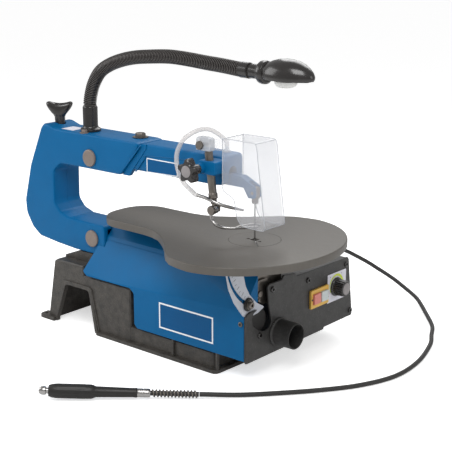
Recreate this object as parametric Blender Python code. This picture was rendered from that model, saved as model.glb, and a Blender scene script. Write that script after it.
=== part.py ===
"""Scroll saw with a C-frame, tilting table, clear guard, work lamp and flexible shaft.

All shapes are written in millimetres around the blade: X forward to the operator,
Y to the operator's right, Z up from the bench. ROW moves them to the row frame,
whose origin is the middle of the saw's footprint.
"""
import math

import bmesh
import bpy
from mathutils import Matrix, Vector

MM = 0.001
ROW = Vector((178.887, 31.291, 0.0))   # blade line in the row frame
GAP = 0.3                          # between touching pieces

TABLE_TOP = 204.0
TABLE_THICK = 12.0
PIVOT_UP = (-318.0, 289.0)         # rocker pivots, x and z
PIVOT_LOW = (-318.0, 154.0)
BLADE_PIN_Z = 275.0
ROD_X = -421.0
ARM_DROP = 135.0                   # upper to lower arm
FRAME_Y = 30.0
MOTOR = (-75.0, 96.0)              # motor axis, x and z
CRANK = 5.35
SLIDE_AXIS = Vector((-0.129, 0.0, 0.9916)).normalized()
POST_MID = Vector((-50.0, -42.0, 312.0))
GUARD_PIN = (-62.0, 345.0)
LOCK_ANGLE = math.radians(31.0)
SLOT_RADIUS = 96.0
LAMP_Y = -3.0
KNOB_YZ = (168.0, 95.5)
PORT_YZ = (20.0, 61.0)

COLOURS = {
    "blue_paint": ((0.020, 0.150, 0.370), 0.38, 0.0),
    "black_casting": ((0.075, 0.065, 0.055), 0.62, 0.2),
    "table_iron": ((0.130, 0.118, 0.100), 0.50, 0.5),
    "panel_black": ((0.030, 0.028, 0.026), 0.55, 0.0),
    "gloss_black": ((0.010, 0.010, 0.010), 0.25, 0.0),
    "rubber_black": ((0.012, 0.012, 0.012), 0.70, 0.0),
    "steel": ((0.55, 0.55, 0.55), 0.32, 1.0),
    "dark_steel": ((0.16, 0.15, 0.14), 0.42, 1.0),
    "pivot_grey": ((0.110, 0.090, 0.080), 0.45, 0.6),
    "clear_plastic": ((0.80, 0.86, 0.88), 0.12, 0.0),
    "white_lens": ((0.85, 0.85, 0.82), 0.30, 0.0),
    "scale_grey": ((0.55, 0.56, 0.58), 0.40, 0.0),
    "label_white": ((0.78, 0.78, 0.80), 0.45, 0.0),
    "switch_yellow": ((0.72, 0.45, 0.08), 0.45, 0.0),
    "button_red": ((0.70, 0.16, 0.14), 0.40, 0.0),
    "button_grey": ((0.60, 0.62, 0.62), 0.40, 0.0),
}


# ---------------------------------------------------------------- helpers
def clear_scene():
    for obj in list(bpy.data.objects):
        bpy.data.objects.remove(obj, do_unlink=True)


def material(name):
    found = bpy.data.materials.get(name)
    if found:
        return found
    colour, rough, metal = COLOURS[name]
    made = bpy.data.materials.new(name)
    made.use_nodes = True
    shader = made.node_tree.nodes["Principled BSDF"]
    shader.inputs["Base Color"].default_value = (*colour, 1.0)
    shader.inputs["Roughness"].default_value = rough
    shader.inputs["Metallic"].default_value = metal
    return made


def put(axis, a, b, t):
    """A 2-D point (a, b) of the plane across axis, at t along it."""
    if axis == "X":
        return Vector((t, a, b))
    if axis == "Y":
        return Vector((a, t, b))
    return Vector((a, b, t))


def arc(centre, radius, start, end, steps):
    """Points of an arc, angles in degrees."""
    out = []
    for i in range(steps + 1):
        ang = math.radians(start + (end - start) * i / steps)
        out.append((centre[0] + radius * math.cos(ang), centre[1] + radius * math.sin(ang)))
    return out


def circle(centre, radius, steps=24):
    return arc(centre, radius, 0.0, 360.0 * (steps - 1) / steps, steps - 1)


def box2(a0, a1, b0, b1):
    return [(a0, b0), (a1, b0), (a1, b1), (a0, b1)]


def rounded(points, radius, steps=3):
    """Outline with its corners rounded; radius is one number or one per corner."""
    out = []
    count = len(points)
    for i in range(count):
        here = Vector(points[i])
        back = (Vector(points[i - 1]) - here)
        ahead = (Vector(points[(i + 1) % count]) - here)
        want = radius[i] if isinstance(radius, (list, tuple)) else radius
        turn = back.angle(ahead)
        if want <= 0.0 or turn > math.radians(176.0):
            out.append(tuple(here))
            continue
        cut = min(want / math.tan(turn / 2.0), 0.48 * back.length, 0.48 * ahead.length)
        start = here + back.normalized() * cut
        end = here + ahead.normalized() * cut
        for k in range(steps + 1):
            t = k / steps
            mid = start.lerp(here, t).lerp(here.lerp(end, t), t)
            out.append(tuple(mid))
    return out


def area(points):
    total = 0.0
    for (ax, ay), (bx, by) in zip(points, points[1:] + points[:1]):
        total += ax * by - bx * ay
    return total / 2.0


def inset(points, dist):
    """The outline moved inward by dist, with as many points."""
    if dist == 0.0:
        return list(points)
    side = 1.0 if area(list(points)) > 0 else -1.0
    out = []
    count = len(points)
    for i in range(count):
        before = Vector(points[i - 1])
        here = Vector(points[i])
        after = Vector(points[(i + 1) % count])
        one = (here - before).normalized()
        two = (after - here).normalized()
        n_one = Vector((-one.y, one.x)) * side
        n_two = Vector((-two.y, two.x)) * side
        mid = (n_one + n_two).normalized()
        reach = dist / max(0.35, mid.dot(n_one))
        out.append(tuple(here + mid * reach))
    return out


def to_object(bm, name):
    bmesh.ops.recalc_face_normals(bm, faces=bm.faces)
    mesh = bpy.data.meshes.new(name)
    bm.to_mesh(mesh)
    bm.free()
    obj = bpy.data.objects.new(name, mesh)
    bpy.context.scene.collection.objects.link(obj)
    return obj


def skin(rings, name="tmp", closed=False):
    """A closed body through rings of equal point counts; one point makes a tip."""
    bm = bmesh.new()
    rows = [[bm.verts.new(p) for p in ring] for ring in rings]
    pairs = list(zip(rows, rows[1:]))
    if closed:
        pairs.append((rows[-1], rows[0]))
    for one, two in pairs:
        count = max(len(one), len(two))
        for i in range(count):
            j = (i + 1) % count
            if len(one) == 1:
                bm.faces.new((one[0], two[j], two[i]))
            elif len(two) == 1:
                bm.faces.new((one[i], one[j], two[0]))
            else:
                bm.faces.new((one[i], one[j], two[j], two[i]))
    if not closed:
        for end in (rows[0], rows[-1]):
            if len(end) > 2:
                bm.faces.new(end)
    return to_object(bm, name)


def prism(points, axis, lo, hi, soft_lo=0.0, soft_hi=0.0, steps=2):
    """Outline extruded along axis, its end edges rounded by soft_lo and soft_hi."""
    levels = []
    if soft_lo > 0:
        for i in range(steps + 1):
            ang = math.pi / 2 * i / steps
            levels.append((soft_lo * (1 - math.sin(ang)), lo + soft_lo * (1 - math.cos(ang))))
    else:
        levels.append((0.0, lo))
    if soft_hi > 0:
        for i in range(steps + 1):
            ang = math.pi / 2 * (1 - i / steps)
            levels.append((soft_hi * (1 - math.sin(ang)), hi - soft_hi * (1 - math.cos(ang))))
    else:
        levels.append((0.0, hi))
    rings = []
    for shrink, level in levels:
        rings.append([put(axis, a, b, level) for a, b in inset(points, shrink)])
    return skin(rings)


def block(x0, x1, y0, y1, z0, z1):
    return prism(box2(x0, x1, y0, y1), "Z", z0, z1)


def turned(profile, centre, direction, sides=24, closed=False):
    """A body of revolution; profile holds (radius, distance along direction)."""
    along = Vector(direction).normalized()
    helper = Vector((0, 0, 1)) if abs(along.z) < 0.9 else Vector((1, 0, 0))
    u = along.cross(helper).normalized()
    v = along.cross(u)
    base = Vector(centre)
    rings = []
    for radius, dist in profile:
        mid = base + along * dist
        if radius <= 0.0:
            rings.append([mid])
            continue
        ring = []
        for i in range(sides):
            ang = 2 * math.pi * i / sides
            ring.append(mid + (u * math.cos(ang) + v * math.sin(ang)) * radius)
        rings.append(ring)
    return skin(rings, closed=closed)


def smooth(points, count):
    """count points at even spacing along a smooth curve through points."""
    pts = [Vector(p) for p in points]
    ext = [pts[0] * 2 - pts[1]] + pts + [pts[-1] * 2 - pts[-2]]
    dense = []
    for i in range(1, len(ext) - 2):
        p0, p1, p2, p3 = ext[i - 1:i + 3]
        for k in range(24):
            t = k / 24.0
            dense.append(0.5 * ((2 * p1) + (p2 - p0) * t + (2 * p0 - 5 * p1 + 4 * p2 - p3) * t * t
                                + (3 * p1 - p0 - 3 * p2 + p3) * t ** 3))
    dense.append(pts[-1])
    walk = [0.0]
    for a, b in zip(dense, dense[1:]):
        walk.append(walk[-1] + (b - a).length)
    out = []
    j = 0
    for i in range(count):
        goal = walk[-1] * i / (count - 1)
        while j < len(walk) - 2 and walk[j + 1] < goal:
            j += 1
        part = (goal - walk[j]) / max(1e-9, walk[j + 1] - walk[j])
        out.append(dense[j].lerp(dense[j + 1], min(1.0, part)))
    return out


def tube(path, radii, sides=12):
    """A solid round bar along path, one radius for all or one per point."""
    pts = [Vector(p) for p in path]
    if not isinstance(radii, (list, tuple)):
        radii = [radii] * len(pts)
    tangent = (pts[1] - pts[0]).normalized()
    helper = Vector((0, 1, 0)) if abs(tangent.y) < 0.9 else Vector((1, 0, 0))
    u = (helper - tangent * helper.dot(tangent)).normalized()
    rings = []
    for i, point in enumerate(pts):
        ahead = pts[min(i + 1, len(pts) - 1)]
        behind = pts[max(i - 1, 0)]
        tangent = (ahead - behind).normalized()
        u = (u - tangent * u.dot(tangent)).normalized()
        v = tangent.cross(u)
        ring = []
        for k in range(sides):
            ang = 2 * math.pi * k / sides
            ring.append(point + (u * math.cos(ang) + v * math.sin(ang)) * radii[i])
        rings.append(ring)
    return skin(rings)


def combine(obj, other, operation):
    mod = obj.modifiers.new("cut", "BOOLEAN")
    mod.operation = operation
    mod.solver = "EXACT"
    mod.object = other
    graph = bpy.context.evaluated_depsgraph_get()
    mesh = bpy.data.meshes.new_from_object(obj.evaluated_get(graph))
    obj.modifiers.clear()
    old = obj.data
    obj.data = mesh
    bpy.data.meshes.remove(old)
    bpy.data.objects.remove(other, do_unlink=True)
    return obj


def cut(obj, *others):
    for other in others:
        combine(obj, other, "DIFFERENCE")
    return obj


def join(obj, *others):
    for other in others:
        combine(obj, other, "UNION")
    return obj


def tidy_mesh(obj):
    bm = bmesh.new()
    bm.from_mesh(obj.data)
    bmesh.ops.remove_doubles(bm, verts=bm.verts, dist=0.004)
    bmesh.ops.dissolve_degenerate(bm, edges=bm.edges, dist=0.004)
    bmesh.ops.delete(bm, geom=[e for e in bm.edges if not e.link_faces], context="EDGES")
    bmesh.ops.delete(bm, geom=[v for v in bm.verts if not v.link_edges], context="VERTS")
    bmesh.ops.triangulate(bm, faces=[f for f in bm.faces if len(f.verts) > 4])
    rim = [e for e in bm.edges if e.is_boundary]
    if rim:
        bmesh.ops.holes_fill(bm, edges=rim, sides=4)
        bmesh.ops.recalc_face_normals(bm, faces=bm.faces)
    bm.to_mesh(obj.data)
    bm.free()


def finish(obj, name, look, pivot=None):
    """Name the piece, give its material, move it to the row frame in metres."""
    tidy_mesh(obj)
    pin = Vector(pivot) if pivot is not None else Vector((0, 0, 0)) - ROW
    obj.data.transform(Matrix.Translation(-pin))
    obj.data.transform(Matrix.Scale(MM, 4))
    obj.location = (pin + ROW) * MM
    obj.name = name
    obj.data.name = name
    obj.data.materials.clear()
    obj.data.materials.append(material(look))
    for poly in obj.data.polygons:
        poly.material_index = 0
    return obj


def on_post(z):
    """Point of the hold-down post's axis at height z."""
    return POST_MID + SLIDE_AXIS * ((z - POST_MID.z) / SLIDE_AXIS.z)


# ---------------------------------------------------------------- fixed castings
def base_casting():
    plinth = rounded(box2(-222, -37, -50, 190), [4, 8, 8, 4])
    solid = prism(plinth, "Z", 0, 29.7, 0, 2)
    side = [(-411, 0.01), (-411, 10), (-392, 106), (-386, 110), (-322, 110), (-320, 94), (-213, 94),
            (-213, 0.01)]
    body = prism(side, "Y", -50.6, 100, 2, 2, 1)
    pedestal = prism([(-386, 100), (-386, 114), (-368, 119), (-354, 125), (-350, 126.6), (-292.6, 126.6),
                      (-290.6, 92), (-384, 92)], "Y", -29.8, 33)
    flange = prism(rounded([(-290, -58), (-27, -58), (-17, 202), (-290, 202)], [6, 10, 10, 10]),
                   "Z", 0, 5.5, 0, 1.2)
    foot = prism(rounded(box2(-430, -392, -57, -36), [9, 2, 2, 2]), "Z", 0, 6, 0, 1.2)
    rim = [(-397, 0), (-369, 77), (-303, 77), (-288.5, 0)]
    rim = prism(rounded(rim, [0, 8, 8, 0]), "Y", -52.4, -40, 1, 0)
    join(solid, body, pedestal, flange, foot, rim)
    cavity = block(-216, -43, -44, 184, -5, 24)
    rear = prism([(-404, -5), (-386.5, 103), (-326, 103), (-326, 88), (-219, 88), (-219, 24), (-190, 24),
                  (-190, -5)], "Y", -44, 94)
    arch = prism(rounded([(-390, -5), (-390, 4), (-364, 71), (-308, 71), (-295, 0), (-295, -5)],
                         [0, 0, 7, 7, 0, 0]), "Y", -60, 110)
    hole = prism(circle((-420, -48), 3.2, 12), "Z", -5, 12)
    cut(solid, cavity, rear, arch, hole)
    return finish(solid, "base_casting", "black_casting")


def cover_shell(g, back):
    """The side cover's solid shape, its walls moved in by g."""
    out = [(24 - g, 33 + g), (24 - g, 170), (-296 + g, 166), (-318 + g, 104), (-310 + g, 97 + g),
           (-210 + g, 97 + g), (-201 + g, 90), (-201 + g, 39 + g), (-195 + g, 33 + g)]
    solid = prism(rounded(out, [0, 0, 0, 0, 4, 6, 6, 4, 0]), "Y", -54 + g, back)
    rings = []
    for x, crease, top_y, top_z in ((40, 111.2, -22.6, 156.6), (-340, 103.4, -30.2, 148.0)):
        low = Vector((x, -54, crease))
        high = Vector((x, top_y, top_z))
        slope = (high - low).normalized()
        out_way = Vector((0, -slope.z, slope.y))
        start = high + slope * 60 - out_way * g
        end = low - slope * 40 - out_way * g
        rings.append([start, end, end + out_way * 90, start + out_way * 90])
    cut(solid, skin(rings))
    return solid


def side_cover():
    solid = cover_shell(0.0, -22.0)
    cut(solid, prism([(-340, 80), (-289, 80), (-289, 175), (-340, 175)], "Y", -30.4, -10))
    cut(solid, cover_shell(2.4, -5.0))
    cut(solid, prism(circle((-18, 88), 20.0, 28), "X", 15, 30))
    ear_c = lock_point()
    join(solid, prism(circle(ear_c, 8.0, 20), "X", 21.75, 23.9))
    cut(solid, prism(circle(ear_c, 2.9, 14), "X", 15, 30))
    return finish(solid, "side_cover", "blue_paint")


def lock_point():
    return (-SLOT_RADIUS * math.sin(LOCK_ANGLE), TABLE_TOP - SLOT_RADIUS * math.cos(LOCK_ANGLE))


def frame_outline():
    pts = [(-204, 326.5), (-249, 270), (-391, 270), (-409, 256), (-410, 200), (-397, 186), (-376, 179),
           (-290, 179), (-290, 127), (-361, 127), (-404, 130), (-450, 135), (-469, 148), (-484, 171),
           (-486, 194), (-468, 258), (-437, 325), (-430, 333), (-421, 333), (-402, 327)]
    radii = [8, 16, 14, 12, 14, 12, 12, 9, 9, 12, 20, 16, 18, 22, 18, 30, 12, 7, 7, 20]
    return rounded(pts, radii, 5)


def frame_cavity():
    return [(-190, 319.5), (-429, 319.5), (-461, 256), (-478.5, 194), (-477, 173), (-463.5, 153),
            (-447, 142), (-403, 137.5), (-361, 134.5), (-280, 134.5), (-280, 172), (-377, 172), (-400, 181),
            (-417, 197), (-417, 258), (-395, 277), (-190, 277)]


def frame_halves():
    halves = []
    for name, sign in (("frame_half_left", -1.0), ("frame_half_right", 1.0)):
        if sign < 0:
            solid = prism(frame_outline(), "Y", -FRAME_Y, -0.15, 4.0, 0)
            cavity = prism(frame_cavity(), "Y", -22, 5)
        else:
            solid = prism(frame_outline(), "Y", 0.15, FRAME_Y, 0, 4.0)
            cavity = prism(frame_cavity(), "Y", -5, 22)
        cut(solid, cavity)
        for x, z in (PIVOT_UP, PIVOT_LOW):
            cut(solid, prism(circle((x, z), 5.3, 20), "Y", -40, 40))
        cut(solid, prism(circle((ROD_X, 0), 10.0, 24), "Z", 300, 345))
        halves.append(finish(solid, name, "blue_paint"))
    return halves


def arm_housing():
    side = [(-42, 283), (-42, 326), (-203.2, 326), (-239.2, 281), (-60, 281)]
    solid = prism(rounded(side, [7, 7, 3, 7, 7]), "Y", -24, 24, 4, 4)
    tongue = block(-262, -214, -21.4, 21.4, 309, 319)
    join(solid, tongue)
    tunnel = prism([(-270, 260), (-54, 260), (-54, 318), (-208, 318), (-226, 312), (-270, 312)], "Y", -17, 17)
    mouth = prism([(-9, 260), (9, 260)] + arc((0, 300), 9, 0, 180, 8), "X", -60, -36)
    cut(solid, tunnel, mouth)
    return finish(solid, "arm_housing", "blue_paint")


def pivot_pins():
    for name, (x, z) in (("upper_pivot_pin", PIVOT_UP), ("lower_pivot_pin", PIVOT_LOW)):
        prof = [(0, -34.2), (11, -34.2), (13.6, -33.4), (14.25, -31.8), (14.25, -30.3), (5.0, -30.3),
                (5.0, 30.3), (14.25, 30.3), (14.25, 31.8), (13.6, 33.4), (11, 34.2), (0, 34.2)]
        finish(turned(prof, (x, 0, z), (0, 1, 0), 24), name, "pivot_grey")


# ---------------------------------------------------------------- rocker arms and drive
def rocker(name, drop, bush_name):
    px, pz = PIVOT_UP[0], PIVOT_UP[1] - drop
    top = [(-431, 281), (-431, 297), (-22, 297), (6, 284), (6, 267), (-7, 267), (-16, 281)]
    top = [(x, z - drop) for x, z in top]
    solid = prism(rounded(top, [3, 3, 4, 4, 4, 2, 3], 2), "Y", -7.5, 7.5)
    boss = turned([(0, -19), (11.4, -19), (11.4, 19), (0, 19)], (px, 0, pz), (0, 1, 0), 20)
    join(solid, boss)
    pin_z = BLADE_PIN_Z - drop
    cut(solid, prism(circle((px, pz), 8.3, 16), "Y", -40, 40))
    cut(solid, block(-9.5, 12, -4.5, 4.5, 255 - drop, 310 - drop))
    cut(solid, prism(circle((0, pin_z), 2.9, 14), "Y", -20, 20))
    cut(solid, block(-440, ROD_X + 9, -4.3, 4.3, 270 - drop, 305 - drop))
    cut(solid, prism(circle((ROD_X, pz), 2.9, 14), "Y", -20, 20))
    if drop > 0:
        stub = turned([(0, 6), (3, 6), (3, 20), (0, 20)], (MOTOR[0], 0, 152), (0, 1, 0), 14)
        join(solid, stub)
    finish(solid, name, "blue_paint", (px, 0, pz))
    ring = [(5.1, -19.5), (8.0, -19.5), (8.0, 19.5), (5.1, 19.5)]
    bush = turned(ring, (px, 0, pz), (0, 1, 0), 16, closed=True)
    finish(bush, bush_name, "steel", (px, 0, pz))


def blade_set():
    pivot = (0, 0, BLADE_PIN_Z)
    for name, z in (("upper_blade_clamp", BLADE_PIN_Z), ("lower_blade_clamp", BLADE_PIN_Z - ARM_DROP)):
        way = 1 if name.startswith("upper") else -1
        clamp = prism(rounded(box2(-6.5, 6.5, z - 9, z + 9), 2.5, 3), "Y", -4, 4, 0.8, 0.8, 2)
        join(clamp, turned([(0, -7.2), (2.5, -7.2), (2.5, 7.2), (0, 7.2)], (0, 0, z), (0, 1, 0), 14))
        lip = z - way * 9
        jaw = prism(rounded(box2(-3.8, 3.8, min(lip, lip - way * 8), max(lip, lip - way * 8)), 1, 2),
                    "Y", -3.2, 3.2)
        shift = way * 0.5
        jaw.data.transform(Matrix.Translation((0, 0, shift)))
        join(clamp, jaw)
        slot = block(-2.2, 2.2, -0.7, 0.7, min(z - way * 20, z - way * 5), max(z - way * 20, z - way * 5))
        cut(clamp, slot)
        finish(clamp, name, "dark_steel", pivot)
    blade = block(-1.5, 1.5, -0.3, 0.3, BLADE_PIN_Z - ARM_DROP + 5.5, BLADE_PIN_Z - 5.5)
    finish(blade, "blade", "steel", pivot)


def about(x, angle):
    """Turn about the upright line through (x, 0)."""
    here = Matrix.Translation(Vector((x, 0, 0)))
    return here @ Matrix.Rotation(angle, 4, "Z") @ here.inverted()


def tension_parts():
    top, low = PIVOT_UP[1], PIVOT_LOW[1]
    rod = turned([(0, low - 7), (2.5, low - 7), (2.5, 324), (0, 324)], (ROD_X, 0, 0), (0, 0, 1), 14)
    for z in (top, low):
        join(rod, turned([(0, -7.2), (2.5, -7.2), (2.5, 7.2), (0, 7.2)], (ROD_X, 0, z), (0, 1, 0), 14))
    finish(rod, "tension_rod", "steel", (ROD_X, 0, top))
    stem = [(0, 304), (8.6, 304), (8.6, 341), (10.5, 347), (12.5, 354), (12, 360), (8, 362), (0, 362)]
    knob = turned(stem, (ROD_X, 0, 0), (0, 0, 1), 20)
    wing = [(-25, 363), (-22, 354), (-12, 345), (12, 345), (22, 354), (25, 363), (20, 369), (11, 368),
            (4, 362), (-4, 362), (-11, 368), (-20, 369)]
    join(knob, prism(rounded([(ROD_X + a, b) for a, b in wing], 2.5, 3), "Y", -7, 7, 1.5, 1.5, 1))
    cut(knob, turned([(0, 300), (2.8, 300), (2.8, 324.6), (0, 324.6)], (ROD_X, 0, 0), (0, 0, 1), 14))
    knob.data.transform(about(ROD_X, math.radians(38)))
    finish(knob, "tension_knob", "gloss_black", (ROD_X, 0, top))


def drive_parts():
    x, z = MOTOR
    pivot = (x, 0, z)
    prof = [(0, 21), (11, 21), (12, 22), (12, 29), (4, 29), (4, 46), (0, 46)]
    shaft = turned(prof, (x, 0, z), (0, 1, 0), 20)
    pin = turned([(0, 10.5), (2.5, 10.5), (2.5, 23), (0, 23)], (x + CRANK, 0, z), (0, 1, 0), 14)
    join(shaft, pin)
    finish(shaft, "motor_shaft", "steel", pivot)
    centre = x + CRANK
    web = prism(rounded([(centre - 5, z), (centre + 5, z), (centre + 7, 140), (centre - 7, 140)], 1, 2),
                "Y", 11.2, 17.2)
    ring = prism(circle((centre, 152), 17.6, 24), "Y", 11.2, 17.2)
    end = prism(circle((centre, z), 7.5, 20), "Y", 11.2, 17.2)
    join(web, ring, end)
    cut(web, prism(circle((centre, 152), 14.2, 24), "Y", 5, 25))
    cut(web, prism(circle((centre, z), 2.9, 14), "Y", 5, 25))
    finish(web, "connecting_rod", "dark_steel", (centre, 0, z))
    prof = [(0, 50), (30, 50), (32, 52), (32, 178), (30, 180), (12, 180), (12, 194), (0, 194)]
    motor = turned(prof, (x, 0, z), (0, 1, 0), 28)
    cut(motor, turned([(0, 45), (4.6, 45), (4.6, 60), (0, 60)], (x, 0, z), (0, 1, 0), 14))
    finish(motor, "motor_body", "dark_steel")
    house = prism(rounded(box2(-150, 24, 44, 215), 6), "Z", 30, 132, 0, 3)
    cut(house, prism(rounded(box2(-147, 21, 47, 212), 4), "Z", 20, 129))
    cut(house, prism(circle((x, z), 8, 20), "Y", 40, 50))
    finish(house, "motor_housing", "panel_black")


# ---------------------------------------------------------------- table
def table_outline():
    half = arc((0, 0), 1.0, 0, 86, 14)
    half = [(-5 + 133 * a, 156 * b) for a, b in half]
    side = smooth([(p[0], p[1], 0) for p in ((-5 + 133 * math.cos(math.radians(86)), 155.6), (-32, 149),
                                             (-56, 134), (-85, 105), (-110, 84), (-137, 66), (-165, 58.5),
                                             (-200, 57), (-236, 57))], 14)
    half += [(p.x, p.y) for p in side[1:]]
    half += arc((-236, 9), 48, 90, 180, 6)[1:]
    mirror = [(x, -y) for x, y in reversed(half)]
    return half + mirror[:-1]


def table_parts():
    pivot = (0, 0, TABLE_TOP)
    low = TABLE_TOP - TABLE_THICK
    top = prism(table_outline(), "Z", low, TABLE_TOP, 0, 2.0, 2)
    cut(top, prism(circle((0, 0), 39.3, 48), "Z", TABLE_TOP - 3, TABLE_TOP + 5))
    cut(top, prism(circle((0, 0), 31, 24), "Z", low - 5, TABLE_TOP + 5))
    finish(top, "table", "table_iron", pivot)
    plate = prism(circle((0, 0), 39.0, 48), "Z", TABLE_TOP - 2.7, TABLE_TOP)
    slit = prism([(4.4, -5.6), (5.6, -4.4), (36.6, -34.4), (35.4, -35.6)], "Z", 190, 210)
    cut(plate, slit)
    cut(plate, prism(rounded(box2(-5, 6.5, -6, 5.2), 2.5, 3), "Z", 190, 210))
    cut(plate, prism(circle((-10, -2.5), 2.6, 12), "Z", 190, 210))
    cut(plate, prism(circle((13, -4.5), 2.6, 12), "Z", 190, 210))
    finish(plate, "table_insert", "table_iron", pivot)
    line = [(-101, low - GAP), (-98, 180), (-95, 173), (-90, 153), (-78, 130), (-67, 116), (-57, 104),
            (-42, 101), (-26, 102), (-10, 108), (-29, 119), (-45, 135), (-54, 150), (-58, 164),
            (-66, low - GAP)]
    quad = prism(rounded(line, [0, 0, 20, 20, 20, 10, 6, 8, 8, 2, 20, 20, 20, 10, 0], 3), "X", 24.6, 27.4)
    slot = []
    for edge, span in ((SLOT_RADIUS + 3.1, (29.5, 77.5)), (SLOT_RADIUS - 3.1, (77.5, 29.5))):
        for i in range(15):
            ang = math.radians(span[0] + (span[1] - span[0]) * i / 14)
            slot.append((-edge * math.sin(ang), TABLE_TOP - edge * math.cos(ang)))
    cut(quad, prism(slot, "X", 20, 32))
    finish(quad, "tilt_quadrant", "scale_grey", pivot)
    moon = [(math.sin(math.radians(a)) * 48, TABLE_TOP - math.cos(math.radians(a)) * 48)
            for a in range(-74, 75, 4)]
    moon = prism([(-46.2, low - GAP)] + moon + [(46.2, low - GAP)], "X", 9, 17)
    finish(moon, "tilt_trunnion", "dark_steel", pivot)


def saddle_parts():
    seat = [(math.sin(math.radians(a)) * 48.4, TABLE_TOP - math.cos(math.radians(a)) * 48.4)
            for a in range(-13, 61, 4)]
    body = seat + [(43.6, 176), (43.6, 98), (24, 96), (-8, 128), (-16, 140), (-16, 150)]
    finish(prism(body, "X", 9, 17), "trunnion_saddle", "dark_steel")
    plate = [(-17, 148), (4, 148), (8, 112), (-4, 108), (-16, 116), (-31, 128)]
    bracket = prism(rounded(plate, [3, 3, 3, 3, 3, 6]), "X", 17.3, 21.2)
    bolt = turned([(0, 20), (5.2, 20), (5.2, 23.2), (4.2, 24.0), (0, 24.0)], (0, -14, 127), (1, 0, 0), 16)
    mark = turned([(0, 20), (2.6, 20), (2.6, 23.4), (0, 24)], (0, -17, 118), (1, 0, 0), 12)
    join(bracket, bolt, mark)
    finish(bracket, "tilt_pointer", "dark_steel")
    y, z = lock_point()
    prof = [(0, 12), (2.5, 12), (2.5, 27.8), (7.0, 27.8), (7.0, 31.2), (5.5, 31.2), (5.5, 35.5), (4.6, 36.3),
            (0, 36.3)]
    screw = turned(prof, (0, y, z), (1, 0, 0), 18)
    cut(screw, prism(circle((y, z), 2.6, 6), "X", 32.8, 40))
    finish(screw, "tilt_lock_screw", "steel", (0, y, z))


# ---------------------------------------------------------------- front panel
def panel_parts():
    line = [(-58, 34), (-58, 103), (-54, 107), (-47, 109.5), (-29, 109.5), (-40, 105), (-43.5, 97),
            (-40, 86), (-28, 76.5), (-15, 71), (-4, 72), (4, 80), (-1, 98), (-4, 111), (-7, 139), (-3, 141.5),
            (27, 141), (32, 147), (59, 143.5), (64, 138), (202, 136.5), (205, 133), (218, 37), (215, 34),
            (139, 36.5), (139, 31), (-56, 31)]
    radii = [2, 4, 3, 3, 1, 4, 5, 8, 10, 10, 8, 6, 4, 4, 3, 2, 2, 3, 3, 3, 2, 2, 2, 2, 1.5, 3, 2]
    plate = prism(rounded(line, radii, 2), "X", 28.2, 31.0, 0, 0.7, 1)
    for y, z in ((64, 70), (64, 110), (200, 112), (200, 60)):
        join(plate, prism(circle((y, z), 5, 12), "X", 24.3, 29))
    for y, z in ((-48, 50), (-34, 64)):
        join(plate, prism(circle((y, z), 5, 12), "X", 24.3, 29))
    cut(plate, prism(circle(PORT_YZ, 17.9, 28), "X", 15, 40))
    for x0, x1 in ((101.6, 120.4), (121.6, 140.4)):
        cut(plate, prism(box2(x0, x1, 81.6, 99.4), "X", 20, 40))
    cut(plate, prism(circle(KNOB_YZ, 3.4, 14), "X", 20, 40))
    finish(plate, "front_panel", "panel_black")
    py, pz = PORT_YZ
    prof = [(18.0, 31.3), (23.0, 31.3), (22.4, 33.4), (20.6, 34.2), (20.0, 36), (20.0, 64.2), (19.4, 65),
            (18.6, 65), (18.0, 64.2)]
    finish(turned(prof, (0, py, pz), (1, 0, 0), 28, closed=True), "dust_port", "panel_black")
    frame = prism(rounded(box2(97.5, 144.5, 75.5, 105.5), 1.5, 2), "X", 31.3, 35.2, 0, 0.8, 2)
    for x0, x1 in ((101.8, 120.2), (121.8, 140.2)):
        cut(frame, prism(box2(x0, x1, 81.8, 99.2), "X", 20, 40))
    finish(frame, "switch_frame", "switch_yellow")
    buttons = (("off_button", 102.1, 119.9, "button_red"), ("on_button", 122.1, 139.9, "button_grey"))
    for name, x0, x1, look in buttons:
        knob = prism(rounded(box2(x0, x1, 82.1, 98.9), 1.0, 2), "X", 29.5, 38.4, 0, 1.0, 2)
        finish(knob, name, look, (29.5, (x0 + x1) / 2, 90.5))
    label = prism(rounded(box2(145.2, 196, 72, 119), 1.0, 2), "X", 31.3, 31.9)
    cut(label, prism(circle(KNOB_YZ, 3.4, 14), "X", 20, 40))
    finish(label, "speed_label", "label_white")
    ky, kz = KNOB_YZ
    prof = [(0, 25.5), (2.8, 25.5), (2.8, 32.4), (15.5, 32.4), (15.5, 34.4), (13.4, 35.2), (12.8, 51),
            (12.0, 52.2), (10.5, 52.8), (0, 53.4)]
    dial = turned(prof, (0, ky, kz), (1, 0, 0), 24)
    mark = block(36, 52.6, -0.8, 0.8, 12.2, 14.2)
    mark.data.transform(Matrix.Translation((0, ky, kz)))
    join(dial, mark)
    finish(dial, "speed_knob", "gloss_black", (32.4, ky, kz))
    bell = [(0, -4), (12, -4), (12, 0), (17, 2), (13, 5), (18, 8), (14, 11), (19, 14), (19, 21), (17, 23),
            (5, 23), (0, 22)]
    finish(turned(bell, (0, -18, 88), (1, 0, 0), 18), "air_bellows", "rubber_black")


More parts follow.
